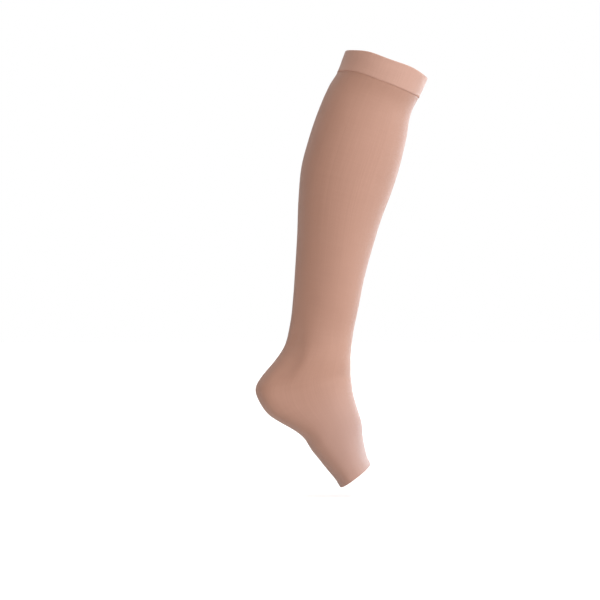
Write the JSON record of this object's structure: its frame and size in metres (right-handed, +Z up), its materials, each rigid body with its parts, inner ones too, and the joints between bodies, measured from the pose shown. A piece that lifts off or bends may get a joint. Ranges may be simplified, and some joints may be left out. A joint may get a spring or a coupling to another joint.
{
  "type": "compression stocking",
  "caption": "Knee-high open-toe compression stocking in fine sand-coloured knit, hollow and in its worn form on a leg that steps forward with its heel raised.",
  "frame": {"origin": "middle of the top edge, where the wearer's leg holds the stocking up", "axes": "+Z up along the stocking's height, +X forward towards the toes, -Y to the outer side of a right leg"},
  "size_m": [0.204, 0.1092, 0.5142],
  "materials": {
    "band_knit": "matt double knit, a little paler than the leg",
    "leg_knit": "matt fine elastic knit, sand-coloured, with a faint soft sheen"
  },
  "bodies": {
    "root": {"top_band": "band_knit", "upper_calf": "leg_knit", "lower_calf": "leg_knit", "ankle_tube": "leg_knit", "heel_pocket": "leg_knit", "foot_tube": "leg_knit"}
  },
  "joints": []
}
